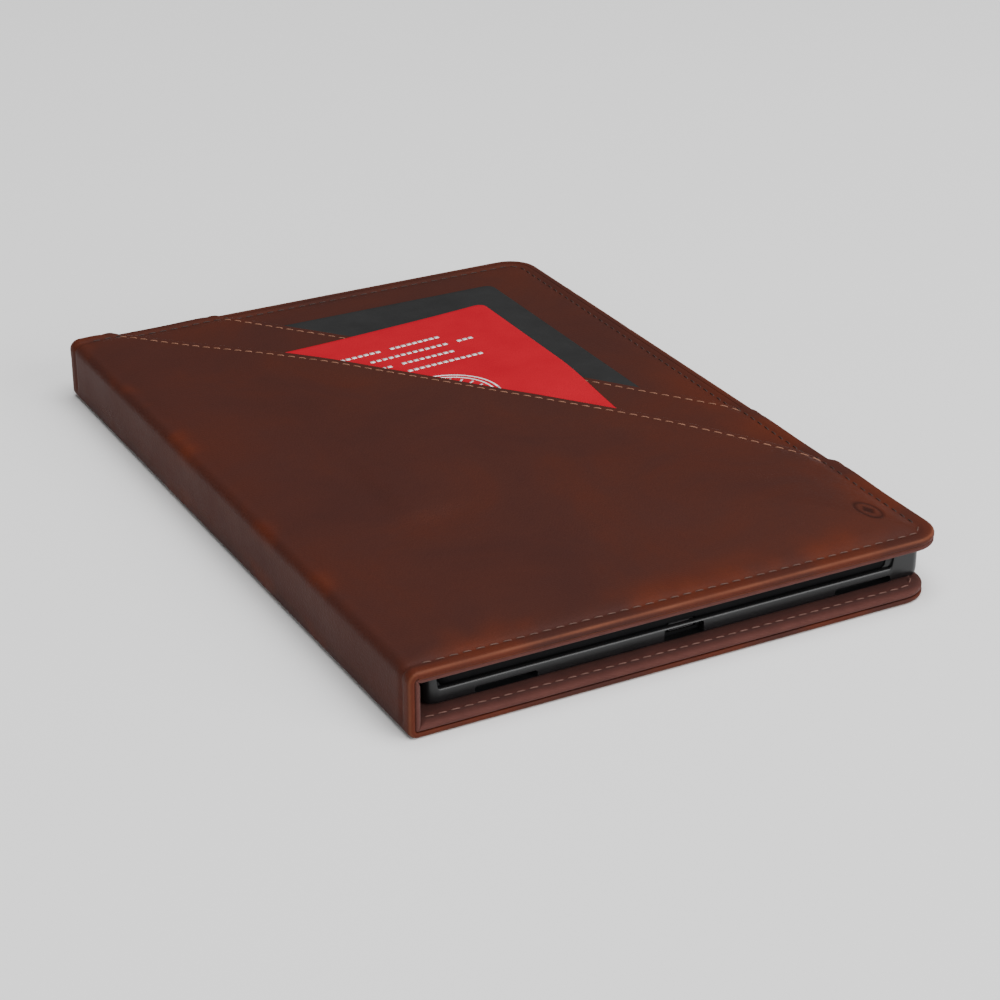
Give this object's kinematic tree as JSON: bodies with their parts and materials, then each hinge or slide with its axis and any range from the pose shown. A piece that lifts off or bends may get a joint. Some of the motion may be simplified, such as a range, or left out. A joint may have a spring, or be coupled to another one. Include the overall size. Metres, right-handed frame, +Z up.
{
  "type": "e-reader in a leather folio",
  "caption": "Electronic-paper reader clipped into a book-style leather folio with a padded front cover, two diagonal pockets, a card and a booklet.",
  "frame": {"origin": "bottom centre of the closed folio, where it lies on the table", "axes": "+Y along the spine from the charging end to the far end, +X from the spine to the fore edge, +Z up through the front cover"},
  "size_m": [0.169, 0.2496, 0.0245],
  "materials": {
    "leather_brown": "aniline-dyed, smooth, semi-matt",
    "lining_suede": "microfibre, matt",
    "board_grey": "plain",
    "foam_grey": "open-cell foam",
    "thread_tan": "waxed thread",
    "magnet_steel": "nickel plated",
    "card_black": "matt coated",
    "booklet_red": "satin cloth-grain cover",
    "pages_white": "uncoated",
    "adhesive_grey": "double-sided foam tape",
    "shell_black": "polycarbonate, fine satin",
    "housing_charcoal": "soft-touch",
    "frame_magnesium": "die cast",
    "screw_steel": "plated",
    "lens_glass": "anti-glare",
    "touch_film": "clear film",
    "guide_acrylic": "clear acrylic",
    "led_strip": "flex with white lamps",
    "epaper_grey": "matt, grey ink particles",
    "flex_orange": "polyimide",
    "pcb_green": "solder mask",
    "chip_black": "moulded epoxy",
    "can_tin": "tinned",
    "battery_silver": "laminated pouch",
    "key_charcoal": "satin"
  },
  "bodies": {
    "base": {"back_leather": "leather_brown", "back_board": "board_grey", "back_lining": "lining_suede", "back_edge_thread": "thread_tan", "shell_adhesive": "adhesive_grey", "holder_shell": "shell_black", "rear_housing": "housing_charcoal", "mid_frame": "frame_magnesium", "front_bezel": "housing_charcoal", "frame_screws": "screw_steel", "cover_lens": "lens_glass", "touch_panel": "touch_film", "light_guide": "guide_acrylic", "light_strip": "led_strip", "epaper_panel": "epaper_grey", "display_flex": "flex_orange", "main_board": "pcb_green", "board_chips": "chip_black", "shield_cans": "can_tin", "hall_sensor": "chip_black", "antenna": "flex_orange", "battery": "battery_silver", "link_flex": "flex_orange", "port_board": "pcb_green", "usb_port": "can_tin", "left_speaker": "chip_black", "right_speaker": "chip_black", "key_board": "flex_orange", "button_board": "flex_orange"},
    "spine": {"spine_leather": "leather_brown", "spine_board": "board_grey", "spine_lining": "lining_suede"},
    "front_cover": {"front_leather": "leather_brown", "front_foam": "foam_grey", "front_board": "board_grey", "front_lining": "lining_suede", "cover_magnets": "magnet_steel", "rear_pocket_panel": "leather_brown", "front_pocket_panel": "leather_brown", "cover_edge_thread": "thread_tan", "pocket_thread": "thread_tan"},
    "card": {"document_card": "card_black"},
    "booklet": {"booklet_cover": "booklet_red", "booklet_pages": "pages_white"},
    "page_back": {"page_back_key": "key_charcoal"},
    "page_forward": {"page_forward_key": "key_charcoal"},
    "power": {"power_button": "key_charcoal"}
  },
  "joints": [
    {"name": "spine_fold", "type": "hinge", "parent": "base", "child": "spine", "pos_m": [-0.0837, 0, 0.0008], "axis": [0, -1, 0], "range_deg": [0, 88]},
    {"name": "cover_fold", "type": "hinge", "parent": "spine", "child": "front_cover", "pos_m": [-0.0837, 0, 0.0187], "axis": [0, -1, 0], "range_deg": [0, 88]},
    {"name": "card_slide", "type": "slide", "parent": "front_cover", "child": "card", "axis": [0, 1, 0], "range_m": [0, 0.13]},
    {"name": "booklet_slide", "type": "slide", "parent": "front_cover", "child": "booklet", "axis": [0.0087, 1, 0], "range_m": [0, 0.14]},
    {"name": "page_back_press", "type": "slide", "parent": "base", "child": "page_back", "axis": [0, 0, -1], "range_m": [0, 0.00035], "stiffness_N_per_m": 900, "springref_m": -0.001},
    {"name": "page_forward_press", "type": "slide", "parent": "base", "child": "page_forward", "axis": [0, 0, -1], "range_m": [0, 0.00035], "stiffness_N_per_m": 900, "springref_m": -0.001},
    {"name": "power_press", "type": "slide", "parent": "base", "child": "power", "axis": [0, -1, 0], "range_m": [0, 0.0004], "stiffness_N_per_m": 900, "springref_m": -0.001}
  ]
}
